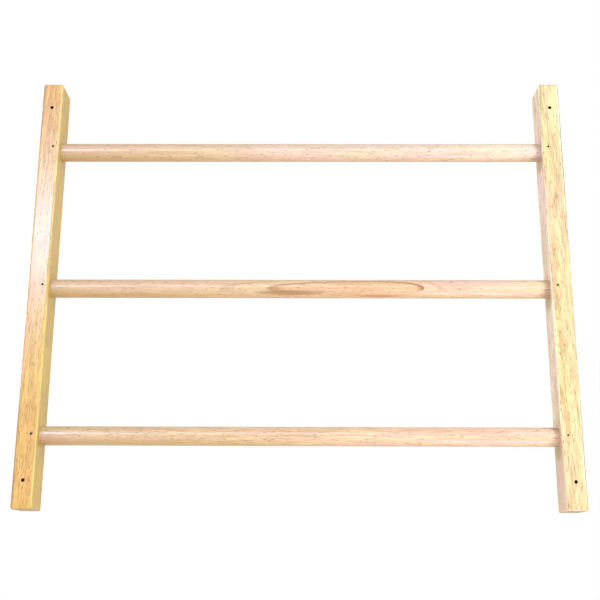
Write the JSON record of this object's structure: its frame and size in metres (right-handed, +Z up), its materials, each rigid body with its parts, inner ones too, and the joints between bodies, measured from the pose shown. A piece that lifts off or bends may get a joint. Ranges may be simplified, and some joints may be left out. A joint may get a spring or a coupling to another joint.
{
  "type": "monkey bars",
  "caption": "Wooden climbing-bar section: two upright rails joined by round rungs, with a bolt hole near each rail end for fixing it to a wall or a play frame.",
  "frame": {"origin": "centre of the four bolt holes, on the plane of the rails' back faces", "axes": "+Z up along the rails, +X along the rungs to the right as seen from the front, +Y into the wall, so the front faces look along -Y"},
  "size_m": [1.016, 0.0635, 0.8256],
  "materials": {
    "rail_wood": "clear satin lacquer",
    "rung_wood": "clear satin lacquer",
    "zinc_steel": "yellow zinc plate"
  },
  "bodies": {
    "root": {"rail_left": "rail_wood", "rail_right": "rail_wood", "rung_top": "rung_wood", "rung_middle": "rung_wood", "rung_bottom": "rung_wood", "rung_screw_top_left": "zinc_steel", "rung_screw_top_right": "zinc_steel", "rung_screw_middle_left": "zinc_steel", "rung_screw_middle_right": "zinc_steel", "rung_screw_bottom_left": "zinc_steel", "rung_screw_bottom_right": "zinc_steel"}
  },
  "joints": []
}
